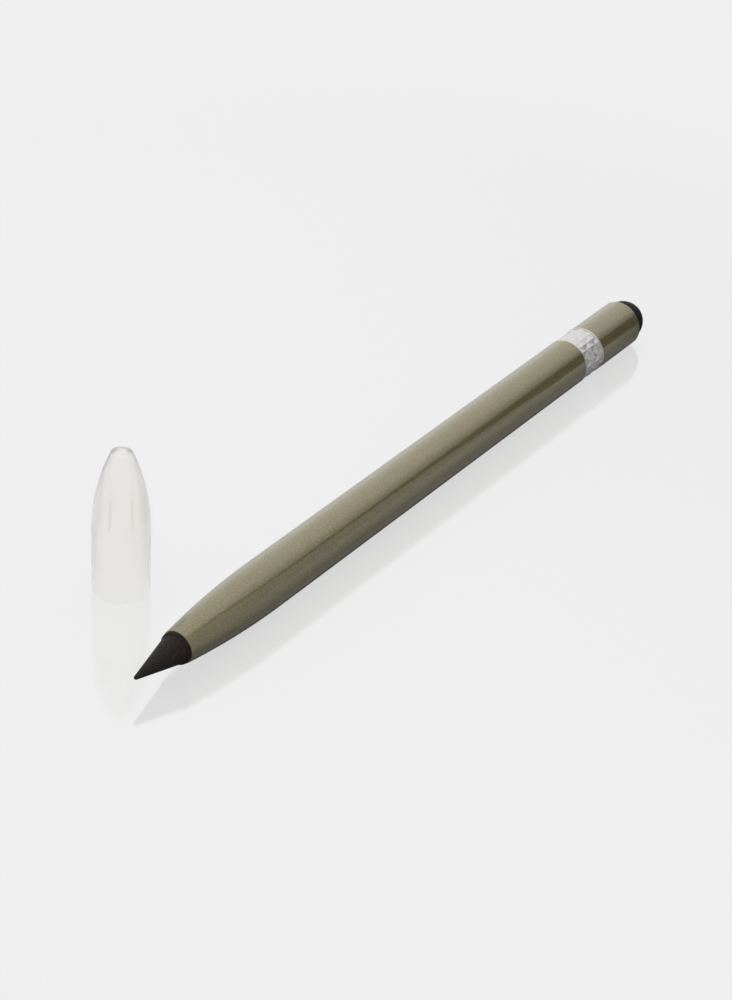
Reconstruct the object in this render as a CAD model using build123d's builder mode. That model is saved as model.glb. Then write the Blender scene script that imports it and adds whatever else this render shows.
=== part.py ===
"""Inkless metal pencil, with its clear cap taken off and stood on its mouth beside it.

Millimetres, +Z up. The pencil lies along X on the plane z = 0, with the writing tip towards -X
and the eraser towards +X. The origin is the middle of the footprint of pencil and cap together.
"""

import os
from math import asin, atan, atan2, cos, hypot, radians, sin, sqrt, tan

from build123d import *

# Barrel: a tube drawn in at the nose along one arc
barrel_diameter = 9.0
barrel_length = 117.8
barrel_wall = 0.5
nose_length = 23.0
nose_rim_diameter = 6.0
rim_chamfer = 0.12

# Writing tip: a graphite cone glued into a threaded holder
nib_length = 9.9
nib_base_diameter = 5.2
nib_point_radius = 0.36
nib_stub_diameter = 2.2
nib_stub_length = 4.5
collar_diameter = 5.7
collar_length = 0.8
collar_edge_round = 0.24
shank_diameter = 3.9
shank_length = 8.0
shank_chamfer = 0.35

# Threaded bush pressed into the nose
bush_recess = 0.4
bush_setback = 6.5

# Faceted ring: columns of raised diamonds, two to a column, between two plain edges
ring_width = 6.4
ring_wall = 0.5
ring_edge_width = 0.28
diamond_columns = 13
diamonds_per_column = 2
diamond_depth = 0.13
diamond_peak_inset = 0.02
diamond_turn = 58.7

# Tail sleeve and the connector that joins it to the barrel
sleeve_length = 13.6
sleeve_wall = 0.5
sleeve_edge_round = 0.22
connector_front_length = 9.0
connector_back_length = 3.5
connector_wall = 1.0
connector_end_chamfer = 0.4

# Eraser: a round plug with a domed end
eraser_reach = 5.2
eraser_dome_height = 4.4
eraser_inner_chamfer = 0.4

# Cap: moulded shell with ribs inside that centre the rim of the nose
cap_grip_depth = 13.9
cap_wall = 0.62
cap_upper_wall = 0.7
cap_end_wall = 0.8
cap_end_diameter = 3.46
cap_straight_height = 11.9
cap_draft = 0.07
cap_tip_clearance = 1.1
cap_end_round = 0.35
cap_mouth_round = 0.12
cap_mouth_chamfer = 0.14
cap_dimple_diameter = 1.9
cap_dimple_depth = 0.25
cap_rib_count = 6
cap_rib_thickness = 0.8
cap_rib_start = 12.7
cap_rib_ramp = 1.15
cap_rib_turn = 15.3
cap_land_start = 12.4

# Where the cap stands, from the barrel's rim and axis
cap_stand_back = 12.3
cap_stand_side = 21.54

# Clearances between pieces, each on the radius
press_gap = 0.02
thread_gap = 0.05
eraser_gap = 0.05
glue_gap = 0.03
cap_gap = 0.05

# Radii
barrel_radius = barrel_diameter / 2
bore_radius = barrel_radius - barrel_wall
rim_radius = nose_rim_diameter / 2
nose_drop = barrel_radius - rim_radius
nose_arc_radius = (nose_length**2 + nose_drop**2) / (2 * nose_drop)
shank_radius = shank_diameter / 2
stub_radius = nib_stub_diameter / 2

# Stations along the pencil, counted from the tip
overall_length = (
    nib_length + collar_length + barrel_length + ring_width + sleeve_length + eraser_reach
)
x_tip = -overall_length / 2
x_collar = x_tip + nib_length
x_rim = x_collar + collar_length
x_shoulder = x_rim + nose_length
x_ring = x_rim + barrel_length
x_sleeve = x_ring + ring_width
x_mouth = x_sleeve + sleeve_length
x_end = x_mouth + eraser_reach


def nose_radius(behind_rim):
    """Outer radius of the nose at a distance behind its rim."""
    return barrel_radius - nose_arc_radius + sqrt(nose_arc_radius**2 - (nose_length - behind_rim) ** 2)


# Cap sizes that follow from the nose that it goes over
cap_bore_radius = nose_radius(cap_grip_depth) + cap_gap
cap_mouth_radius = cap_bore_radius + cap_wall
cap_end_radius = cap_end_diameter / 2
cap_cavity_height = cap_grip_depth + collar_length + nib_length + cap_tip_clearance
cap_height = cap_cavity_height + cap_end_wall
cap_rib_radius = rim_radius + cap_gap

# Footprint: the pencil's near side and the cap's far side lie equally far from the origin
y_pencil = (barrel_radius - cap_stand_side - cap_mouth_radius) / 2
y_cap = y_pencil + cap_stand_side
x_cap = x_rim + cap_stand_back

pencil_axis = Axis((0, y_pencil, barrel_radius), (1, 0, 0))
pencil_plane = Plane((0, y_pencil, barrel_radius), x_dir=(1, 0, 0), z_dir=(0, -1, 0))
cap_axis = Axis((x_cap, y_cap, 0), (0, 0, 1))
cap_plane = Plane((x_cap, y_cap, 0), x_dir=(1, 0, 0), z_dir=(0, -1, 0))

os.makedirs("parts", exist_ok=True)


# Barrel
with BuildPart() as barrel:
    with BuildSketch(pencil_plane):
        with BuildLine():
            Polyline(
                (x_shoulder, bore_radius),
                (x_ring, bore_radius),
                (x_ring, barrel_radius),
                (x_shoulder, barrel_radius),
            )
            TangentArc((x_shoulder, barrel_radius), (x_rim, rim_radius), tangent=(-1, 0))
            Line((x_rim, rim_radius), (x_rim, rim_radius - barrel_wall))
            TangentArc((x_shoulder, bore_radius), (x_rim, rim_radius - barrel_wall), tangent=(-1, 0))
        make_face()
    revolve(axis=pencil_axis)
    front_edges = barrel.edges().filter_by(GeomType.CIRCLE).group_by(Axis.X)[0]
    chamfer(front_edges.sort_by(SortBy.RADIUS)[-1], rim_chamfer)
barrel.part.label = "barrel"
export_step(barrel.part, "parts/barrel.step")


# Nose bush: its outside follows the inside of the nose, its bore takes the threaded shank
bush_back = nose_length - bush_setback
bush_middle = (bush_recess + bush_back) / 2
bush_bore_radius = shank_radius + thread_gap
bush_skin = barrel_wall + press_gap

with BuildPart() as nose_bush:
    with BuildSketch(pencil_plane):
        with BuildLine():
            outside = ThreePointArc(
                (x_rim + bush_recess, nose_radius(bush_recess) - bush_skin),
                (x_rim + bush_middle, nose_radius(bush_middle) - bush_skin),
                (x_rim + bush_back, nose_radius(bush_back) - bush_skin),
            )
            Polyline(
                outside @ 1,
                (x_rim + bush_back, bush_bore_radius),
                (x_rim + bush_recess, bush_bore_radius),
                outside @ 0,
            )
        make_face()
    revolve(axis=pencil_axis)
nose_bush.part.label = "nose_bush"
export_step(nose_bush.part, "parts/nose_bush.step")


# Tip holder: a collar against the nose rim, a threaded shank behind it, a blind hole in front
with BuildPart() as tip_holder:
    with BuildSketch(pencil_plane):
        with BuildLine():
            Polyline(
                (x_collar, stub_radius + glue_gap),
                (x_collar, collar_diameter / 2),
                (x_rim, collar_diameter / 2),
                (x_rim, shank_radius),
                (x_rim + shank_length, shank_radius),
                (x_rim + shank_length, 0),
                (x_collar + nib_stub_length + glue_gap, 0),
                (x_collar + nib_stub_length + glue_gap, stub_radius + glue_gap),
                close=True,
            )
        make_face()
    revolve(axis=pencil_axis)
    rings = tip_holder.edges().filter_by(GeomType.CIRCLE)
    fillet(rings.sort_by(SortBy.RADIUS)[-2:], collar_edge_round)
    chamfer(rings.sort_by(Axis.X)[-1], shank_chamfer)
tip_holder.part.label = "tip_holder"
export_step(tip_holder.part, "parts/tip_holder.step")


# Graphite tip: the cone's flank runs tangent into a small round point
nib_base_radius = nib_base_diameter / 2
point_centre = x_tip + nib_point_radius
flank_reach = hypot(x_collar - point_centre, nib_base_radius)
flank_angle = atan2(nib_base_radius, x_collar - point_centre) - asin(nib_point_radius / flank_reach)
point_start = (
    point_centre - nib_point_radius * sin(flank_angle),
    nib_point_radius * cos(flank_angle),
)

with BuildPart() as graphite_tip:
    with BuildSketch(pencil_plane):
        with BuildLine():
            TangentArc(point_start, (x_tip, 0), tangent=(-cos(flank_angle), -sin(flank_angle)))
            Polyline(
                point_start,
                (x_collar, nib_base_radius),
                (x_collar, stub_radius),
                (x_collar + nib_stub_length, stub_radius),
                (x_collar + nib_stub_length, 0),
                (x_tip, 0),
            )
        make_face()
    revolve(axis=pencil_axis)
graphite_tip.part.label = "graphite_tip"
export_step(graphite_tip.part, "parts/graphite_tip.step")


# Faceted ring: points on a staggered lattice stand high and low in turn, and each high point is
# the peak of a diamond whose four facets fall to the low points round it
ring_bore_radius = barrel_radius - ring_wall
peak_radius = barrel_radius - diamond_peak_inset
valley_radius = peak_radius - diamond_depth
lattice_columns = 2 * diamond_columns
lattice_rows = 2 * diamonds_per_column
lattice_pitch = (ring_width - 2 * ring_edge_width) / lattice_rows
column_angle = 360 / lattice_columns


def lattice_point(row, column):
    """Point of the lattice; the columns are counted from diamond_turn above the near side."""
    radius = peak_radius if (row + column) % 2 else valley_radius
    angle = radians(diamond_turn + column * column_angle)
    return Vector(
        x_ring + ring_edge_width + row * lattice_pitch,
        y_pencil - radius * cos(angle),
        barrel_radius + radius * sin(angle),
    )


def polygon_face(points):
    """Flat face with straight edges through the points."""
    return Face(Wire.make_polygon(points))


facets = []
for row in range(lattice_rows):
    for column in range(lattice_columns):
        corners = [
            lattice_point(row, column),
            lattice_point(row, column + 1),
            lattice_point(row + 1, column + 1),
            lattice_point(row + 1, column),
        ]
        first_peak = (row + column + 1) % 2
        for peak in (first_peak, first_peak + 2):
            facets.append(polygon_face([corners[peak - 1], corners[peak], corners[(peak + 1) % 4]]))
for row in (0, lattice_rows):
    facets.append(polygon_face([lattice_point(row, column) for column in range(lattice_columns)]))
facet_band = Solid(Shell(facets))

with BuildPart() as faceted_ring:
    add(facet_band)
    for x_edge in (x_ring, x_sleeve - ring_edge_width):
        with BuildSketch(Plane((x_edge, y_pencil, barrel_radius), z_dir=(1, 0, 0))):
            Circle(barrel_radius)
        extrude(amount=ring_edge_width)
    with BuildSketch(Plane((x_ring, y_pencil, barrel_radius), z_dir=(1, 0, 0))):
        Circle(ring_bore_radius)
    extrude(amount=ring_width, mode=Mode.SUBTRACT)
faceted_ring.part.label = "faceted_ring"
export_step(faceted_ring.part, "parts/faceted_ring.step")


# Connector: a plug through barrel, ring and sleeve, cored out from the front, closed at the back
front_plug_radius = bore_radius - press_gap
ring_seat_radius = ring_bore_radius - press_gap
sleeve_bore_radius = barrel_radius - sleeve_wall
back_plug_radius = sleeve_bore_radius - press_gap
x_plug_front = x_ring - connector_front_length
x_seat = x_sleeve + connector_back_length
core_radius = min(front_plug_radius, ring_seat_radius, back_plug_radius) - connector_wall

connector_sections = (
    (x_plug_front, connector_front_length, front_plug_radius),
    (x_ring, ring_width, ring_seat_radius),
    (x_sleeve, connector_back_length, back_plug_radius),
)

with BuildPart() as connector:
    for x_start, length, radius in connector_sections:
        with BuildSketch(Plane((x_start, y_pencil, barrel_radius), z_dir=(1, 0, 0))):
            Circle(radius)
        extrude(amount=length)
    end_edges = connector.edges().filter_by(GeomType.CIRCLE).sort_by(Axis.X)
    chamfer([end_edges[0], end_edges[-1]], connector_end_chamfer)
    with BuildSketch(Plane((x_plug_front, y_pencil, barrel_radius), z_dir=(1, 0, 0))):
        Circle(core_radius)
    extrude(amount=x_seat - connector_wall - x_plug_front, mode=Mode.SUBTRACT)
connector.part.label = "connector"
export_step(connector.part, "parts/connector.step")


# Tail sleeve
with BuildPart() as tail_sleeve:
    with BuildSketch(Plane((x_sleeve, y_pencil, barrel_radius), z_dir=(1, 0, 0))):
        Circle(barrel_radius)
        Circle(sleeve_bore_radius, mode=Mode.SUBTRACT)
    extrude(amount=sleeve_length)
    mouth_edges = tail_sleeve.edges().filter_by(GeomType.CIRCLE).group_by(Axis.X)[-1]
    fillet(mouth_edges.sort_by(SortBy.RADIUS)[-1], sleeve_edge_round)
tail_sleeve.part.label = "tail_sleeve"
export_step(tail_sleeve.part, "parts/tail_sleeve.step")


# Eraser: seats on the back of the connector and ends in a half ellipse outside the sleeve
eraser_radius = sleeve_bore_radius - eraser_gap
x_dome = x_end - eraser_dome_height

with BuildPart() as eraser:
    with BuildSketch(pencil_plane):
        with BuildLine():
            EllipticalCenterArc((x_dome, 0), eraser_dome_height, eraser_radius, start_angle=0, arc_size=90)
            Polyline(
                (x_dome, eraser_radius),
                (x_seat + eraser_inner_chamfer, eraser_radius),
                (x_seat, eraser_radius - eraser_inner_chamfer),
                (x_seat, 0),
                (x_end, 0),
            )
        make_face()
    revolve(axis=pencil_axis)
eraser.part.label = "eraser"
export_step(eraser.part, "parts/eraser.step")


# Cap core: the hollow of the cap as a solid, with slots where the ribs stand; each rib starts with
# a ramp that leads the rim in
cap_shoulder_radius = cap_mouth_radius - cap_draft
cap_inset = cap_shoulder_radius - cap_end_radius
cap_end_slope = 2 * atan(cap_inset / (cap_height - cap_straight_height))
cavity_end_radius = cap_end_radius + cap_end_wall * tan(cap_end_slope) - cap_upper_wall
cavity_draft = cap_draft * cap_land_start / cap_straight_height
land_radius = cap_shoulder_radius - cap_upper_wall

with BuildPart() as cap_core:
    with BuildSketch(cap_plane):
        with BuildLine():
            Polyline(
                (land_radius, cap_land_start),
                (cap_bore_radius - cavity_draft, cap_land_start),
                (cap_bore_radius, 0),
                (0, 0),
                (0, cap_cavity_height),
                (cavity_end_radius, cap_cavity_height),
            )
            TangentArc((land_radius, cap_land_start), (cavity_end_radius, cap_cavity_height), tangent=(0, 1))
        make_face()
    revolve(axis=cap_axis)
    for rib in range(cap_rib_count):
        rib_angle = radians(cap_rib_turn + rib * 360 / cap_rib_count)
        rib_plane = Plane(
            (x_cap, y_cap, 0),
            x_dir=(cos(rib_angle), sin(rib_angle), 0),
            z_dir=(sin(rib_angle), -cos(rib_angle), 0),
        )
        with BuildSketch(rib_plane):
            with BuildLine():
                Polyline(
                    (land_radius, cap_rib_start),
                    (cap_rib_radius, cap_rib_start + cap_rib_ramp),
                    (cap_rib_radius, cap_height),
                    (cap_mouth_radius, cap_height),
                    (cap_mouth_radius, cap_rib_start),
                    close=True,
                )
            make_face()
        extrude(amount=cap_rib_thickness / 2, both=True, mode=Mode.SUBTRACT)


# Cap: the outside drawn as a slightly tapered wall and one arc to a small flat end
with BuildPart() as cap:
    with BuildSketch(cap_plane):
        with BuildLine():
            Polyline(
                (cap_end_radius, cap_height),
                (0, cap_height),
                (0, 0),
                (cap_mouth_radius, 0),
                (cap_shoulder_radius, cap_straight_height),
            )
            TangentArc(
                (cap_shoulder_radius, cap_straight_height),
                (cap_end_radius, cap_height),
                tangent=(-cap_draft, cap_straight_height),
            )
        make_face()
    revolve(axis=cap_axis)
    outer_edges = cap.edges().filter_by(GeomType.CIRCLE).sort_by(Axis.Z)
    fillet(outer_edges[-1], cap_end_round)
    fillet(outer_edges[0], cap_mouth_round)
    with BuildSketch(cap_plane):
        with BuildLine():
            ThreePointArc(
                (-cap_dimple_diameter / 2, cap_height),
                (0, cap_height - cap_dimple_depth),
                (cap_dimple_diameter / 2, cap_height),
            )
            Line((-cap_dimple_diameter / 2, cap_height), (cap_dimple_diameter / 2, cap_height))
        make_face()
        split(bisect_by=Plane.YZ)
    revolve(axis=cap_axis, mode=Mode.SUBTRACT)
    add(cap_core.part, mode=Mode.SUBTRACT)
    mouth_edges = cap.edges().filter_by(GeomType.CIRCLE).group_by(Axis.Z)[0]
    chamfer(mouth_edges.sort_by(SortBy.RADIUS)[0], cap_mouth_chamfer)
cap.part.label = "cap"
export_step(cap.part, "parts/cap.step")
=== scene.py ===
import math

import bpy
import numpy as np
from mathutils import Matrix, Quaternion, Vector


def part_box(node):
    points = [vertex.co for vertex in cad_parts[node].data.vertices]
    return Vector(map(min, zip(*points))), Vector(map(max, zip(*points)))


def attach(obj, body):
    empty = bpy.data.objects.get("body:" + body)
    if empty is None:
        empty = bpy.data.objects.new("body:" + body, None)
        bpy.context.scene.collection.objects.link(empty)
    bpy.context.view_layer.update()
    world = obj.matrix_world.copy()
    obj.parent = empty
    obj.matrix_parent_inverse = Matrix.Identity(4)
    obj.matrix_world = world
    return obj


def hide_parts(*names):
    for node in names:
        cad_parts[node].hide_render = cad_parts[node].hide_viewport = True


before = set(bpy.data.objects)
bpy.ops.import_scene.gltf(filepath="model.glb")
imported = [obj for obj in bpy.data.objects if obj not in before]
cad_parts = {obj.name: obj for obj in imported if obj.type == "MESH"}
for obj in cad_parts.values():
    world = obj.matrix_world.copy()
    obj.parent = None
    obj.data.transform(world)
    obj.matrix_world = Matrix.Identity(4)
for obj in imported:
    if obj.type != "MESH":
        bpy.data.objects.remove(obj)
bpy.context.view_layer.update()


# Graphite tip
# The black writing cone of graphite alloy: pressed, sintered and turned to a small blunt point.
# A round stub behind it is glued into the tip holder.
mm = 0.001
tip_low, tip_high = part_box("graphite_tip")
holder_low, holder_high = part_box("tip_holder")
pencil_axis_y = (tip_low.y + tip_high.y) / 2
pencil_axis_z = (tip_low.z + tip_high.z) / 2
pencil_origin = np.array([0.0, pencil_axis_y, pencil_axis_z])
pencil_directions = np.array([[1.0, 0.0, 0.0], [0.0, -1.0, 0.0], [0.0, 0.0, 1.0]])
point_radius = 0.36 * mm
stub_radius = 1.1 * mm
stub_round = 0.1 * mm
point_rings = 14
flank_rings = 48
tip_around = 128
sharp_angle = math.radians(32)


def rounded_line(corners, rounds, steps=6, closed=False):
    """Profile line through (station, radius) corners. At each corner the two straight sides are joined by a
    circular arc of that corner's round, which starts and ends at round x tan(half the turn) from the corner.
    A spare point just outside each end of the arc keeps the straight sides flat when shaded smooth."""
    spare_share = 0.15
    corners = np.asarray(corners, float)
    rounds = np.broadcast_to(np.asarray(rounds, float), len(corners))
    line = []
    for i, (corner, radius) in enumerate(zip(corners, rounds)):
        at_end = not closed and i in (0, len(corners) - 1)
        if at_end or radius == 0:
            line.append(corner[None])
            continue
        came, goes = corner - corners[i - 1], corners[(i + 1) % len(corners)] - corner
        came, goes = came / np.hypot(*came), goes / np.hypot(*goes)
        turn = math.atan2(came[0] * goes[1] - came[1] * goes[0], came @ goes)
        reach = radius * abs(math.tan(turn / 2))
        inward = math.copysign(1, turn) * np.array([-came[1], came[0]])
        angles = np.linspace(0, turn, steps + 1)[:, None]
        spoke = -radius * inward
        arc = corner - came * reach - spoke
        arc = arc + spoke * np.cos(angles) + np.array([-spoke[1], spoke[0]]) * np.sin(angles)
        line.append(arc[:1] - came * radius * spare_share)
        line.append(arc)
        line.append(arc[-1:] + goes * radius * spare_share)
    return np.vstack(line)


def turned_piece(name, stations, radii, origin, directions, turns, loop=False):
    """Lathe-turned surface. Point (k, j) stands at station k along the first direction and at radius (k, j)
    from that axis, turned by angle j from the second direction to the third. A first or last ring of no
    radius is one pole point, closed by a fan of triangles; with loop the last ring joins the first."""
    along, first, second = directions
    radii = np.asarray(radii, float).reshape(len(stations), -1)
    radii = np.broadcast_to(radii, (len(stations), len(turns)))
    spokes = np.cos(turns)[:, None] * first + np.sin(turns)[:, None] * second
    grid = origin + np.asarray(stations)[:, None, None] * along + radii[:, :, None] * spokes[None]
    around = len(turns)
    start_pole = not loop and not radii[0].any()
    end_pole = not loop and not radii[-1].any()
    rings = grid[1 if start_pole else 0:len(grid) - 1 if end_pole else len(grid)]
    count = len(rings)
    number = np.arange(count * around).reshape(count, around)
    here = number if loop else number[:-1]
    ahead = np.roll(number, -1, axis=0) if loop else number[1:]
    quads = np.stack([here, ahead, np.roll(ahead, -1, axis=1), np.roll(here, -1, axis=1)], -1)
    faces = quads.reshape(-1, 4).tolist()
    points = [rings.reshape(-1, 3)]
    spare = count * around
    if start_pole:
        ring = number[0]
        faces += np.stack([np.full(around, spare), ring, np.roll(ring, -1)], -1).tolist()
        points.append(grid[0, :1])
        spare += 1
    if end_pole:
        ring = number[-1]
        faces += np.stack([np.full(around, spare), np.roll(ring, -1), ring], -1).tolist()
        points.append(grid[-1, :1])
    mesh = bpy.data.meshes.new(name)
    mesh.from_pydata(np.vstack(points).tolist(), [], faces)
    mesh.polygons.foreach_set("use_smooth", np.ones(len(mesh.polygons), dtype=bool))
    mesh.set_sharp_from_angle(angle=sharp_angle)
    mesh.update()
    piece = bpy.data.objects.new(name, mesh)
    bpy.context.scene.collection.objects.link(piece)
    return piece


def even_turns(count):
    """Equal angles round a full circle, without the last one, which is the first again."""
    return np.linspace(0, 2 * np.pi, count, endpoint=False)


def math_step(nodes, operation):
    """Math node that does the named sum."""
    step = nodes.new("ShaderNodeMath")
    step.operation = operation
    return step


def fine_grain_group():
    """Fine surface grain: soft noise of a given size on Object coordinates. Mask runs from 0 to 1 about 0.5,
    and Colour is Base made darker and lighter by Amount times the mask's distance from 0.5."""
    group = bpy.data.node_groups.new("fine_grain", "ShaderNodeTree")
    face = group.interface
    face.new_socket(name="Base", in_out="INPUT", socket_type="NodeSocketColor")
    face.new_socket(name="Amount", in_out="INPUT", socket_type="NodeSocketFloat")
    face.new_socket(name="Scale", in_out="INPUT", socket_type="NodeSocketFloat")
    face.new_socket(name="Stretch", in_out="INPUT", socket_type="NodeSocketVector")
    face.new_socket(name="Colour", in_out="OUTPUT", socket_type="NodeSocketColor")
    face.new_socket(name="Mask", in_out="OUTPUT", socket_type="NodeSocketFloat")
    nodes, links = group.nodes, group.links
    given = nodes.new("NodeGroupInput")
    made = nodes.new("NodeGroupOutput")
    place = nodes.new("ShaderNodeTexCoord")
    stretched = nodes.new("ShaderNodeVectorMath")
    stretched.operation = "MULTIPLY"
    noise = nodes.new("ShaderNodeTexNoise")
    noise.inputs["Detail"].default_value = 3.0
    noise.inputs["Roughness"].default_value = 0.6
    centred = math_step(nodes, "SUBTRACT")
    centred.inputs[1].default_value = 0.5
    swing = math_step(nodes, "MULTIPLY_ADD")
    swing.inputs[2].default_value = 1.0
    tinted = nodes.new("ShaderNodeVectorMath")
    tinted.operation = "SCALE"
    links.new(place.outputs["Object"], stretched.inputs[0])
    links.new(given.outputs["Stretch"], stretched.inputs[1])
    links.new(stretched.outputs[0], noise.inputs["Vector"])
    links.new(given.outputs["Scale"], noise.inputs["Scale"])
    links.new(noise.outputs["Fac"], centred.inputs[0])
    links.new(centred.outputs[0], swing.inputs[0])
    links.new(given.outputs["Amount"], swing.inputs[1])
    links.new(given.outputs["Base"], tinted.inputs[0])
    links.new(swing.outputs[0], tinted.inputs["Scale"])
    links.new(tinted.outputs[0], made.inputs["Colour"])
    links.new(noise.outputs["Fac"], made.inputs["Mask"])
    return group


fine_grain = fine_grain_group()


def grained_finish(
    name, colour, amount, scale, roughness, rough_swing, bump, bump_depth, stretch=(1, 1, 1), plain=()
):
    """Material with the fine grain in its colour, in its roughness about the given level, and in its bump.
    Plain names the shader's other sockets, with the value that each is set to."""
    finish = bpy.data.materials.new(name)
    finish.use_nodes = True
    nodes, links = finish.node_tree.nodes, finish.node_tree.links
    shader = nodes["Principled BSDF"]
    for socket, value in dict(plain).items():
        shader.inputs[socket].default_value = value
    grain = nodes.new("ShaderNodeGroup")
    grain.node_tree = fine_grain
    grain.inputs["Base"].default_value = (*colour, 1)
    grain.inputs["Amount"].default_value = amount
    grain.inputs["Scale"].default_value = scale
    grain.inputs["Stretch"].default_value = stretch
    level = nodes.new("ShaderNodeMapRange")
    level.inputs["To Min"].default_value = roughness - rough_swing
    level.inputs["To Max"].default_value = roughness + rough_swing
    relief = nodes.new("ShaderNodeBump")
    relief.inputs["Strength"].default_value = bump
    relief.inputs["Distance"].default_value = bump_depth
    links.new(grain.outputs["Colour"], shader.inputs["Base Color"])
    links.new(grain.outputs["Mask"], level.inputs["Value"])
    links.new(level.outputs["Result"], shader.inputs["Roughness"])
    links.new(grain.outputs["Mask"], relief.inputs["Height"])
    links.new(relief.outputs["Normal"], shader.inputs["Normal"])
    return finish


x_tip = tip_low.x
x_collar = holder_low.x
cone_radius = (tip_high.z - tip_low.z) / 2
cone_run = x_collar - x_tip - point_radius
cone_slope = math.atan2(cone_radius, cone_run)
cone_slope = cone_slope - math.asin(point_radius / math.hypot(cone_run, cone_radius))
point_turn = np.linspace(0, math.pi / 2 - cone_slope, point_rings)
point_line = np.stack([x_tip + point_radius * (1 - np.cos(point_turn)), point_radius * np.sin(point_turn)], 1)
cone_foot = np.array([x_collar, cone_radius])
flank_share = np.linspace(0.02, 1, flank_rings)[:, None]
flank_line = point_line[-1] + flank_share * (cone_foot - point_line[-1])
stub_line = rounded_line(
    [(x_collar, cone_radius), (x_collar, stub_radius), (tip_high.x, stub_radius), (tip_high.x, 0)],
    [0, 0, stub_round, 0],
)
tip_line = np.vstack([point_line, flank_line, stub_line[1:]])
graphite_tip = turned_piece(
    "graphite_tip_turned",
    tip_line[:, 0], tip_line[:, 1], pencil_origin, pencil_directions, even_turns(tip_around),
)
graphite_finish = grained_finish(
    "graphite",
    colour=(0.0205, 0.0165, 0.0147), amount=2.0, scale=2300, stretch=(0.7, 1, 1),
    roughness=0.56, rough_swing=0.10, bump=0.35, bump_depth=0.04 * mm,
    plain={"Specular IOR Level": 0.10},
)
graphite_tip.data.materials.append(graphite_finish)
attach(graphite_tip, "tip")
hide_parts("graphite_tip")


# Tip holder
# A black moulded collar that closes the nose, with a blind hole in front for the graphite stub and
# a threaded shank behind it that screws into the bush in the nose.
collar_length = 0.8 * mm
collar_round = 0.24 * mm
shank_radius = 1.95 * mm
shank_chamfer = 0.35 * mm
thread_pitch = 0.7 * mm
thread_depth = 0.3 * mm
thread_flank = 1.5
thread_start = 0.02 * mm
thread_fade = 0.5 * mm
thread_rings = 150
chamfer_rings = 6
stub_hole_radius = 1.13 * mm
stub_hole_depth = 4.53 * mm
holder_turns = even_turns(96)
x_rim = x_collar + collar_length
x_shank_end = holder_high.x
collar_radius = (holder_high.z - holder_low.z) / 2

collar_line = rounded_line(
    [
        (x_collar + stub_hole_depth, 0),
        (x_collar + stub_hole_depth, stub_hole_radius),
        (x_collar, stub_hole_radius),
        (x_collar, collar_radius),
        (x_rim, collar_radius),
        (x_rim, shank_radius - thread_depth),
    ],
    [0, 0, 0, collar_round, collar_round, 0],
)
thread_stations = np.linspace(x_rim + thread_start, x_shank_end - shank_chamfer, thread_rings)
chamfer_stations = np.linspace(x_shank_end - shank_chamfer, x_shank_end, chamfer_rings)[1:]
# The thread's ridge is a triangle wave along the shank that starts later by one pitch per turn, with its
# crest and root cut flat; it grows from nothing behind the collar, and the chamfer cuts it at the end.
thread_phase = thread_stations[:, None] / thread_pitch - holder_turns[None] / (2 * np.pi)
thread_wave = 1 - np.abs(2 * (thread_phase % 1) - 1)
thread_crest = np.clip(thread_wave * thread_flank - (thread_flank - 1) / 2, 0, 1)
thread_runout = np.clip((thread_stations - x_rim) / thread_fade, 0, 1)[:, None]
thread_radii = shank_radius - thread_depth * (1 - thread_crest * thread_runout)
chamfer_radii = np.minimum(
    thread_radii[-1][None],
    (shank_radius - (chamfer_stations - chamfer_stations[0]))[:, None],
)
holder_stations = np.concatenate([collar_line[:, 0], thread_stations, chamfer_stations, [x_shank_end]])
holder_radii = np.vstack([
    np.repeat(collar_line[:, 1:], len(holder_turns), axis=1),
    thread_radii,
    chamfer_radii,
    np.zeros((1, len(holder_turns))),
])
tip_holder = turned_piece(
    "tip_holder_threaded", holder_stations, holder_radii, pencil_origin, pencil_directions, holder_turns
)
holder_finish = grained_finish(
    "holder_black",
    colour=(0.0200, 0.0160, 0.0142), amount=0.5, scale=4200,
    roughness=0.6, rough_swing=0.08, bump=0.2, bump_depth=0.03 * mm,
    plain={"Specular IOR Level": 0.05},
)
tip_holder.data.materials.append(holder_finish)
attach(tip_holder, "tip")
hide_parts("tip_holder")


# Nose bush
# A turned brass bush pressed into the nose, threaded inside for the tip holder. It is hidden while
# the tip is in place, so the solid keeps its shape and only gets its turned finish.
bush_finish = grained_finish(
    "bush_brass",
    colour=(0.62, 0.44, 0.19), amount=0.35, scale=2600, stretch=(6, 0.3, 0.3),
    roughness=0.30, rough_swing=0.10, bump=0.3, bump_depth=0.03 * mm,
    plain={"Metallic": 1.0},
)
nose_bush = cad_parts["nose_bush"]
nose_bush.data.materials.clear()
nose_bush.data.materials.append(bush_finish)


# Barrel
# A thin aluminium tube, drawn in at the nose along one arc and cut square, then finished in a satin
# metallic olive under a clear coat.
barrel_low, barrel_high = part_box("barrel")
barrel_radius = (barrel_high.z - barrel_low.z) / 2
barrel_wall = 0.5 * mm
nose_length = 23.0 * mm
rim_radius = 3.0 * mm
rim_chamfer = 0.12 * mm
rim_flat = 0.02 * mm
nose_rings = 72
body_rings = 40
tube_turns = even_turns(256)
nose_drop = barrel_radius - rim_radius
nose_arc = (nose_length**2 + nose_drop**2) / (2 * nose_drop)
x_shoulder = x_rim + nose_length
x_ring = barrel_high.x


def nose_radius(behind_rim):
    """Outer radius behind the rim: a circle of the nose arc that meets the straight barrel smoothly."""
    return barrel_radius - nose_arc + np.sqrt(nose_arc**2 - (nose_length - behind_rim) ** 2)


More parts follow.
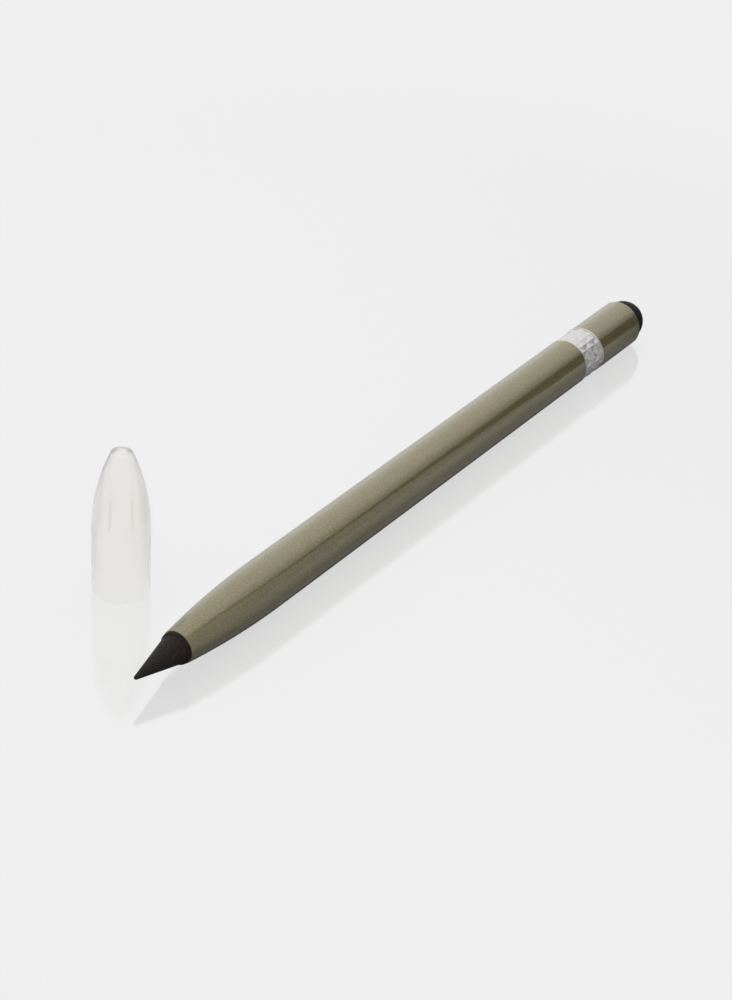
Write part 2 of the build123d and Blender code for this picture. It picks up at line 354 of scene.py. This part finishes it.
nose_steps = np.linspace(rim_chamfer, nose_length, nose_rings)
nose_line = np.stack([x_rim + nose_steps, nose_radius(nose_steps)], 1)
body_stations = np.linspace(x_shoulder, x_ring, body_rings)[1:]
body_line = np.stack([body_stations, np.full(len(body_stations), barrel_radius)], 1)
bore_line = np.vstack([body_line, nose_line[::-1]]) - [0, barrel_wall]
bore_line = bore_line[np.argsort(-bore_line[:, 0], kind="stable")]
rim_line = np.array([
    (x_rim, rim_radius - barrel_wall),
    (x_rim, rim_radius - rim_chamfer - rim_flat),
    (x_rim, rim_radius - rim_chamfer),
])
barrel_line = np.vstack([rim_line, nose_line, body_line, bore_line])
barrel = turned_piece(
    "barrel_tube",
    barrel_line[:, 0], barrel_line[:, 1], pencil_origin, pencil_directions, tube_turns, loop=True,
)
olive_metal = grained_finish(
    "olive_aluminium",
    colour=(0.185, 0.158, 0.075), amount=1.7, scale=3800,
    roughness=0.48, rough_swing=0.10, bump=0.4, bump_depth=0.03 * mm,
    plain={"Metallic": 1.0, "Coat Weight": 1.0, "Coat Roughness": 0.09, "Coat IOR": 1.65},
)
barrel.data.materials.append(olive_metal)
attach(barrel, "pencil")
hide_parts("barrel")


# Connector
# A moulded plug that joins barrel, ring and sleeve from inside, and is the seat of the eraser. Only its
# back shows, when the eraser is out, so the solid keeps its shape and gets a moulded finish.
connector_finish = grained_finish(
    "connector_plastic",
    colour=(0.075, 0.074, 0.072), amount=0.4, scale=3000,
    roughness=0.5, rough_swing=0.08, bump=0.25, bump_depth=0.04 * mm,
)
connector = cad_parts["connector"]
connector.data.materials.clear()
connector.data.materials.append(connector_finish)


# Faceted ring
# A silver ring with a band of raised diamonds between two plain edges, cut and polished, and clamped
# between barrel and sleeve. Its flat facets are the solid's own.
ring_finish = grained_finish(
    "ring_silver",
    colour=(0.565, 0.56, 0.55), amount=0.12, scale=3200,
    roughness=0.36, rough_swing=0.05, bump=0.12, bump_depth=0.02 * mm,
    plain={"Metallic": 0.7},
)
faceted_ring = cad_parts["faceted_ring"]
faceted_ring.data.materials.clear()
faceted_ring.data.materials.append(ring_finish)


# Tail sleeve
# A short length of the same olive tube behind the ring, with a rolled edge at the mouth that holds
# the eraser.
sleeve_low, sleeve_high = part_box("tail_sleeve")
sleeve_wall = 0.5 * mm
sleeve_mouth_round = 0.22 * mm
sleeve_bore_round = 0.05 * mm
sleeve_front_round = 0.03 * mm
sleeve_line = rounded_line(
    [
        (sleeve_low.x, barrel_radius),
        (sleeve_high.x, barrel_radius),
        (sleeve_high.x, barrel_radius - sleeve_wall),
        (sleeve_low.x, barrel_radius - sleeve_wall),
    ],
    [sleeve_front_round, sleeve_mouth_round, sleeve_bore_round, sleeve_front_round],
    steps=8,
    closed=True,
)
tail_sleeve = turned_piece(
    "tail_sleeve_tube",
    sleeve_line[:, 0], sleeve_line[:, 1], pencil_origin, pencil_directions, tube_turns, loop=True,
)
tail_sleeve.data.materials.append(olive_metal)
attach(tail_sleeve, "pencil")
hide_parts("tail_sleeve")


# Eraser
# A moulded plug of black rubber, pushed into the sleeve against the connector. Its end outside the
# sleeve is a smooth dome.
eraser_low, eraser_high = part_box("eraser")
eraser_radius = (eraser_high.z - eraser_low.z) / 2
dome_height = 4.4 * mm
eraser_chamfer = 0.4 * mm
chamfer_back_round = 0.1 * mm
chamfer_side_round = 0.2 * mm
dome_rings = 40
eraser_around = 160
x_dome = eraser_high.x - dome_height
dome_turn = np.linspace(0, math.pi / 2, dome_rings)
dome_line = np.stack([x_dome + dome_height * np.sin(dome_turn), eraser_radius * np.cos(dome_turn)], 1)
dome_line[-1, 1] = 0
plug_line = rounded_line(
    [
        (eraser_low.x, 0),
        (eraser_low.x, eraser_radius - eraser_chamfer),
        (eraser_low.x + eraser_chamfer, eraser_radius),
        (x_dome, eraser_radius),
    ],
    [0, chamfer_back_round, chamfer_side_round, 0],
)
eraser_line = np.vstack([plug_line[:-1], dome_line])
eraser = turned_piece(
    "eraser_domed",
    eraser_line[:, 0], eraser_line[:, 1], pencil_origin, pencil_directions, even_turns(eraser_around),
)
eraser_finish = grained_finish(
    "eraser_rubber",
    colour=(0.0100, 0.0094, 0.0080), amount=0.7, scale=3400,
    roughness=0.6, rough_swing=0.10, bump=0.5, bump_depth=0.06 * mm,
    plain={"Specular IOR Level": 0.12},
)
eraser.data.materials.append(eraser_finish)
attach(eraser, "eraser_plug")
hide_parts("eraser")


# Cap
# A clear moulded plastic cap with a small dimpled end, six ribs inside that centre the rim of the nose,
# and a plain mouth. It is taken off and stands on its mouth beside the pencil.
cap_low, cap_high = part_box("cap")
cap_origin = np.array([(cap_low.x + cap_high.x) / 2, (cap_low.y + cap_high.y) / 2, 0.0])
cap_directions = np.array([[0.0, 0.0, 1.0], [1.0, 0.0, 0.0], [0.0, -1.0, 0.0]])
cap_height = cap_high.z
cap_mouth_radius = (cap_high.x - cap_low.x) / 2
cap_wall = 0.62 * mm
cap_upper_wall = 0.7 * mm
cap_end_wall = 0.8 * mm
cap_end_radius = 1.73 * mm
cap_straight = 11.9 * mm
cap_draft = 0.07 * mm
cap_end_round = 0.35 * mm
cap_mouth_round = 0.12 * mm
cap_mouth_chamfer = 0.14 * mm
dimple_radius = 0.95 * mm
dimple_depth = 0.25 * mm
dimple_round = 0.06 * mm
rib_count = 6
rib_thickness = 0.8 * mm
rib_start = 12.7 * mm
rib_ramp = 1.15 * mm
rib_turn = math.radians(15.3)
rib_edge = math.radians(0.7)
rib_radius = rim_radius + 0.05 * mm
land_start = 12.4 * mm
land_round = 0.04 * mm
inner_rings = 110
outer_rings = 72
end_rings = 4
dimple_rings = 12
cap_bore = cap_mouth_radius - cap_wall
cap_shoulder = cap_mouth_radius - cap_draft
cavity_height = cap_height - cap_end_wall
end_slope = 2 * math.atan((cap_shoulder - cap_end_radius) / (cap_height - cap_straight))
cavity_end = cap_end_radius + cap_end_wall * math.tan(end_slope) - cap_upper_wall
land_radius = cap_shoulder - cap_upper_wall
cavity_draft = cap_draft * land_start / cap_straight


def tangent_arc(start, way, end, count):
    """Circle arc from start to end that leaves start along the given way: its centre is on the normal there,
    at the distance where both points are equally far from it."""
    start, end = np.asarray(start, float), np.asarray(end, float)
    way = np.asarray(way, float) / np.hypot(*way)
    normal = np.array([-way[1], way[0]])
    chord = end - start
    radius = chord @ chord / (2 * chord @ normal)
    centre = start + radius * normal
    sweep = 2 * math.atan2(chord @ normal, chord @ way)
    angles = np.linspace(0, sweep, count)[:, None]
    spoke = start - centre
    return centre + spoke * np.cos(angles) + np.array([-spoke[1], spoke[0]]) * np.sin(angles)


ceiling_line = np.array([
    (cavity_height, 0),
    (cavity_height, cavity_end * 0.6),
    (cavity_height, cavity_end * 0.92),
])
inner_arc = tangent_arc((land_start, land_radius), (1, 0), (cavity_height, cavity_end), inner_rings)[::-1]
mouth_line = rounded_line(
    [
        (land_start, land_radius),
        (land_start, cap_bore - cavity_draft),
        (0, cap_bore),
        (0, cap_mouth_radius),
        (cap_straight, cap_shoulder),
    ],
    [0, land_round, cap_mouth_chamfer, cap_mouth_round, 0],
)
outer_arc = tangent_arc(
    (cap_straight, cap_shoulder), (cap_straight, -cap_draft), (cap_height, cap_end_radius), outer_rings
)
dimple_arc_radius = (dimple_radius**2 + dimple_depth**2) / (2 * dimple_depth)
dimple_radii = np.linspace(dimple_radius, 0, dimple_rings)[1:]
dimple_rise = np.sqrt(dimple_arc_radius**2 - dimple_radii**2) - dimple_arc_radius + dimple_depth
end_line = rounded_line(
    [
        outer_arc[-end_rings],
        (cap_height, cap_end_radius),
        (cap_height, dimple_radius),
        (cap_height - dimple_rise[0], dimple_radii[0]),
    ],
    [0, cap_end_round, dimple_round, 0],
)
dimple_line = np.stack([cap_height - dimple_rise, dimple_radii], 1)
cap_line = np.vstack([
    ceiling_line, inner_arc, mouth_line[1:-1], outer_arc[:-end_rings], end_line[:-1], dimple_line
])
# The angles round the cap are closest at the ribs' sides, where the inside steps from its own radius to the
# rib's flat face: that radius divided by the cosine of the angle from the rib's middle.
rib_half_angle = math.asin(rib_thickness / 2 / ((rib_radius + land_radius) / 2))
sector = math.pi / rib_count
half_sector = np.concatenate([
    np.linspace(0, rib_half_angle - rib_edge, 6),
    np.linspace(rib_half_angle - rib_edge, rib_half_angle + rib_edge, 6)[1:],
    np.linspace(rib_half_angle + rib_edge, sector, 16)[1:],
])
sector_turns = np.concatenate([-half_sector[:0:-1], half_sector[:-1]])
rib_middles = np.arange(rib_count) * 2 * sector - rib_turn
cap_turns = (rib_middles[:, None] + sector_turns[None]).ravel()
from_rib = np.tile(np.abs(sector_turns), rib_count)
rib_shape = np.clip((rib_half_angle + rib_edge - from_rib) / (2 * rib_edge), 0, 1)
rib_shape = rib_shape**2 * (3 - 2 * rib_shape)
cap_radii = np.repeat(cap_line[:, 1:], len(cap_turns), axis=1)
rib_rows = slice(len(ceiling_line), len(ceiling_line) + len(inner_arc))
rib_ramped = np.clip((cap_line[rib_rows, :1] - rib_start) / rib_ramp, 0, 1)
rib_profile = land_radius + (rib_radius - land_radius) * rib_ramped
rib_faces = np.minimum(rib_profile / np.cos(np.minimum(from_rib, rib_half_angle)), cap_radii[rib_rows])
cap_radii[rib_rows] += (rib_faces - cap_radii[rib_rows]) * rib_shape
cap = turned_piece("cap_shell", cap_line[:, 0], cap_radii, cap_origin, cap_directions, cap_turns)
cap_finish = grained_finish(
    "cap_clear",
    colour=(0.979, 0.973, 0.955), amount=0.02, scale=900, stretch=(1, 1, 0.3),
    roughness=0.34, rough_swing=0.03, bump=0.05, bump_depth=0.02 * mm,
    plain={
        "Transmission Weight": 1.0,
        "IOR": 1.125,
        "Coat Weight": 0.7,
        "Coat IOR": 1.45,
        "Coat Roughness": 0.1,
    },
)
cap.data.materials.append(cap_finish)
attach(cap, "cap_shell")
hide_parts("cap")


# Floor
# A pale, smooth table top that mirrors a little of what stands on it. The camera sees one even pale grey,
# while the metal finds painted shade on it: dark along the front of the pencil and towards its tail end, pale
# behind it.
floor_half = 6.0
pale_level = 0.863
near_glow = 0.802
near_glow_share = 0.91
near_mirror_share = 0.108
fade_start = 0.10
fade_end = 0.19
front_start = -0.25
front_end = -0.011
# Painted shade on the floor, only in the light it bounces and mirrors onto the pencil: greys from the far
# front to the pencil's foot, where it is darkest.
front_stops = (0.837, 0.946, 0.979)
front_shade_greys = (0.48, 0.35, 0.19, 0.07, 0.03)
# Painted shade that darkens the front of the floor towards the pencil's tail end, across a slanted line, and
# lightens it a little towards the tip.
side_slant = 1.1
side_start, side_end = 0.048, 0.066
side_left, side_right = 1.15, 0.05
back_end = 0.004
back_grey = 0.88
shown_grey = 0.82


def smooth_range(nodes, start, end, start_value, end_value):
    """Map Range node that goes smoothly from one value to the other between start and end."""
    step = nodes.new("ShaderNodeMapRange")
    step.interpolation_type = "SMOOTHSTEP"
    step.inputs["From Min"].default_value = start
    step.inputs["From Max"].default_value = end
    step.inputs["To Min"].default_value = start_value
    step.inputs["To Max"].default_value = end_value
    return step


floor_mesh = bpy.data.meshes.new("floor")
floor_corners = [(-1, -1), (1, -1), (1, 1), (-1, 1)]
floor_mesh.from_pydata([(floor_half * x, floor_half * y, 0) for x, y in floor_corners], [], [(0, 1, 2, 3)])
floor = bpy.data.objects.new("floor", floor_mesh)
bpy.context.scene.collection.objects.link(floor)
floor_finish = bpy.data.materials.new("pale_table")
floor_finish.use_nodes = True
floor_nodes, floor_links = floor_finish.node_tree.nodes, floor_finish.node_tree.links
floor_nodes.remove(floor_nodes["Principled BSDF"])
floor_place = floor_nodes.new("ShaderNodeTexCoord")
floor_split = floor_nodes.new("ShaderNodeSeparateXYZ")
floor_path = floor_nodes.new("ShaderNodeLightPath")
floor_links.new(floor_place.outputs["Object"], floor_split.inputs[0])

floor_depth = floor_nodes.new("ShaderNodeMapRange")
floor_depth.inputs["From Min"].default_value = front_start
floor_depth.inputs["From Max"].default_value = front_end
floor_front_shade = floor_nodes.new("ShaderNodeValToRGB")
floor_stops = floor_front_shade.color_ramp.elements
for stop_place in front_stops:
    floor_stops.new(stop_place)
for stop, grey in zip(floor_stops, front_shade_greys):
    stop.color = (grey, grey, grey, 1)
floor_slant = math_step(floor_nodes, "MULTIPLY_ADD")
floor_slant.inputs[1].default_value = side_slant
floor_tail_shade = smooth_range(floor_nodes, side_start, side_end, side_left, side_right)
floor_near_shade = math_step(floor_nodes, "MULTIPLY")
floor_back = smooth_range(floor_nodes, front_end, back_end, 0, 1)
# The floor's colour for bounced and glossy light: the painted shade in front of the pencil, and pale behind
# it.
floor_painted_shade = floor_nodes.new("ShaderNodeMix")
floor_painted_shade.inputs["B"].default_value = back_grey
floor_links.new(floor_split.outputs["Y"], floor_depth.inputs["Value"])
floor_links.new(floor_split.outputs["Y"], floor_back.inputs["Value"])
floor_links.new(floor_split.outputs["Y"], floor_slant.inputs[0])
floor_links.new(floor_split.outputs["X"], floor_slant.inputs[2])
floor_links.new(floor_slant.outputs[0], floor_tail_shade.inputs["Value"])
floor_links.new(floor_depth.outputs["Result"], floor_front_shade.inputs[0])
floor_links.new(floor_front_shade.outputs[0], floor_near_shade.inputs[0])
floor_links.new(floor_tail_shade.outputs["Result"], floor_near_shade.inputs[1])
floor_links.new(floor_back.outputs["Result"], floor_painted_shade.inputs["Factor"])
floor_links.new(floor_near_shade.outputs[0], floor_painted_shade.inputs["A"])

# Glossy rays see the pale glow only as far as the painted shade lets them; camera and transmission rays see
# it whole.
floor_glint = math_step(floor_nodes, "MULTIPLY_ADD")
floor_seen = math_step(floor_nodes, "MAXIMUM")
floor_shown = floor_nodes.new("ShaderNodeMix")
floor_shown.inputs["B"].default_value = shown_grey
floor_matt = floor_nodes.new("ShaderNodeBsdfDiffuse")
floor_links.new(floor_path.outputs["Is Glossy Ray"], floor_glint.inputs[0])
floor_links.new(floor_painted_shade.outputs["Result"], floor_glint.inputs[1])
floor_links.new(floor_path.outputs["Is Transmission Ray"], floor_glint.inputs[2])
floor_links.new(floor_path.outputs["Is Camera Ray"], floor_seen.inputs[0])
floor_links.new(floor_glint.outputs[0], floor_seen.inputs[1])
floor_links.new(floor_seen.outputs[0], floor_shown.inputs["Factor"])
floor_links.new(floor_painted_shade.outputs["Result"], floor_shown.inputs["A"])
floor_links.new(floor_shown.outputs["Result"], floor_matt.inputs["Color"])

floor_glow = floor_nodes.new("ShaderNodeEmission")
floor_lift = math_step(floor_nodes, "MULTIPLY")
floor_pale = floor_nodes.new("ShaderNodeMixShader")
floor_mirror = floor_nodes.new("ShaderNodeBsdfGlossy")
floor_mirror.inputs["Color"].default_value = (1, 1, 1, 1)
floor_mirror.inputs["Roughness"].default_value = 0.1
floor_mix = floor_nodes.new("ShaderNodeMixShader")
floor_reach = floor_nodes.new("ShaderNodeVectorMath")
floor_reach.operation = "LENGTH"
floor_links.new(floor_place.outputs["Object"], floor_reach.inputs[0])
for near, far, fed in (
    (near_mirror_share, 0.0, floor_mix.inputs[0]),
    (near_glow, pale_level, floor_glow.inputs["Strength"]),
    (near_glow_share, 1.0, floor_lift.inputs[1]),
):
    floor_fade = smooth_range(floor_nodes, fade_start, fade_end, near, far)
    floor_links.new(floor_reach.outputs["Value"], floor_fade.inputs["Value"])
    floor_links.new(floor_fade.outputs["Result"], fed)
floor_links.new(floor_seen.outputs[0], floor_lift.inputs[0])
floor_links.new(floor_lift.outputs[0], floor_pale.inputs[0])
floor_links.new(floor_matt.outputs[0], floor_pale.inputs[1])
floor_links.new(floor_glow.outputs[0], floor_pale.inputs[2])
floor_links.new(floor_pale.outputs[0], floor_mix.inputs[1])
floor_links.new(floor_mirror.outputs[0], floor_mix.inputs[2])
floor_links.new(floor_mix.outputs[0], floor_nodes["Material Output"].inputs["Surface"])
floor_mesh.materials.append(floor_finish)


# Studio
# A wide bright tent behind and above, darker towards the front, and two cards behind the camera: a
# grey one that fills the near side of the barrel, and a dark one beside it that draws its shadow line.
tent_dark, tent_bright = 0.45, 1.3
tent_dark_angle, tent_bright_angle = math.radians(29), math.radians(86)
tent_end_start, tent_end_full = 0.69, 0.82
tent_end_share = 0.88
tent_seen_level = 1.0
card_plane = -0.41
fill_shade = 0.75
dark_shade = 0.03

world = bpy.data.worlds.new("studio")
world.use_nodes = True
bpy.context.scene.world = world
world_nodes, world_links = world.node_tree.nodes, world.node_tree.links
tent = world_nodes["Background"]
tent.inputs["Color"].default_value = (1, 1, 1, 1)
tent_way = world_nodes.new("ShaderNodeTexCoord")
tent_split = world_nodes.new("ShaderNodeSeparateXYZ")
tent_front = math_step(world_nodes, "MULTIPLY")
tent_front.inputs[1].default_value = -1.0
tent_angle = math_step(world_nodes, "ARCTAN2")
tent_level = smooth_range(world_nodes, tent_dark_angle, tent_bright_angle, tent_dark, tent_bright)
tent_end = smooth_range(world_nodes, tent_end_start, tent_end_full, 1.0, tent_end_share)
tent_light = math_step(world_nodes, "MULTIPLY")
tent_path = world_nodes.new("ShaderNodeLightPath")
tent_seen = world_nodes.new("ShaderNodeMix")
tent_seen.inputs["B"].default_value = tent_seen_level
tent_pale = world_nodes.new("ShaderNodeMix")
tent_pale.inputs["B"].default_value = pale_level
world_links.new(tent_way.outputs["Generated"], tent_split.inputs[0])
world_links.new(tent_split.outputs["Y"], tent_front.inputs[0])
world_links.new(tent_split.outputs["Z"], tent_angle.inputs[0])
world_links.new(tent_front.outputs[0], tent_angle.inputs[1])
world_links.new(tent_angle.outputs[0], tent_level.inputs["Value"])
world_links.new(tent_split.outputs["X"], tent_end.inputs["Value"])
world_links.new(tent_level.outputs["Result"], tent_light.inputs[0])
world_links.new(tent_end.outputs["Result"], tent_light.inputs[1])
world_links.new(tent_path.outputs["Is Transmission Ray"], tent_seen.inputs["Factor"])
world_links.new(tent_light.outputs[0], tent_seen.inputs["A"])
world_links.new(tent_path.outputs["Is Camera Ray"], tent_pale.inputs["Factor"])
world_links.new(tent_seen.outputs["Result"], tent_pale.inputs["A"])
world_links.new(tent_pale.outputs["Result"], tent.inputs["Strength"])

card_edge = [(0.50, 0.0), (0.495, 0.08), (0.475, 0.17), (0.455, 0.28), (0.42, 0.35), (0.37, 0.42)]
card_gap = [(0.31, 0.53), (0.28, 0.75), (0.40, 0.75), (0.41, 0.53), (0.435, 0.445)]
card_top = [(0.50, 0.395), (0.56, 0.38), (0.75, 0.36), (2.6, 0.36)]
fill_outline = [(-1.6, 0.0), (-1.6, 0.42)] + card_edge[::-1]
dark_outline = card_edge + card_gap + card_top + [(2.6, 0.0)]
for card_name, card_shade, card_outline in (
    ("fill_card", fill_shade, fill_outline),
    ("dark_card", dark_shade, dark_outline),
):
    card_mesh = bpy.data.meshes.new(card_name)
    card_points = [(across, card_plane, height) for across, height in card_outline]
    card_mesh.from_pydata(card_points, [], [range(len(card_points))])
    card = bpy.data.objects.new(card_name, card_mesh)
    bpy.context.scene.collection.objects.link(card)
    card_finish = bpy.data.materials.new(card_name)
    card_finish.use_nodes = True
    card_shader = card_finish.node_tree.nodes["Principled BSDF"]
    card_shader.inputs["Base Color"].default_value = (card_shade, card_shade, card_shade, 1)
    card_shader.inputs["Roughness"].default_value = 1.0
    card_shader.inputs["Specular IOR Level"].default_value = 0.0
    card_mesh.materials.append(card_finish)
    card.visible_camera = False
    card.visible_transmission = False


# Camera
# At the photograph's place and tilt, looking along the pencil from the tip end, with a long lens. Its
# place and target are given from the rim of the nose and the pencil's axis.
camera_data = bpy.data.cameras.new("camera")
camera_data.sensor_width = 36.0
camera_data.lens = 98.14
camera = bpy.data.objects.new("camera", camera_data)
bpy.context.scene.collection.objects.link(camera)
camera_place = Vector((x_rim - 0.27709, pencil_axis_y - 0.21446, 0.25851))
camera_target = Vector((x_rim + 0.060187, pencil_axis_y + 0.005437, 0.000059))
camera_roll = Quaternion((0, 0, 1), math.radians(3.572))
camera.location = camera_place
camera.rotation_mode = "QUATERNION"
camera.rotation_quaternion = (camera_target - camera_place).to_track_quat("-Z", "Y") @ camera_roll
bpy.context.scene.camera = camera
bpy.context.scene.view_settings.view_transform = "Standard"
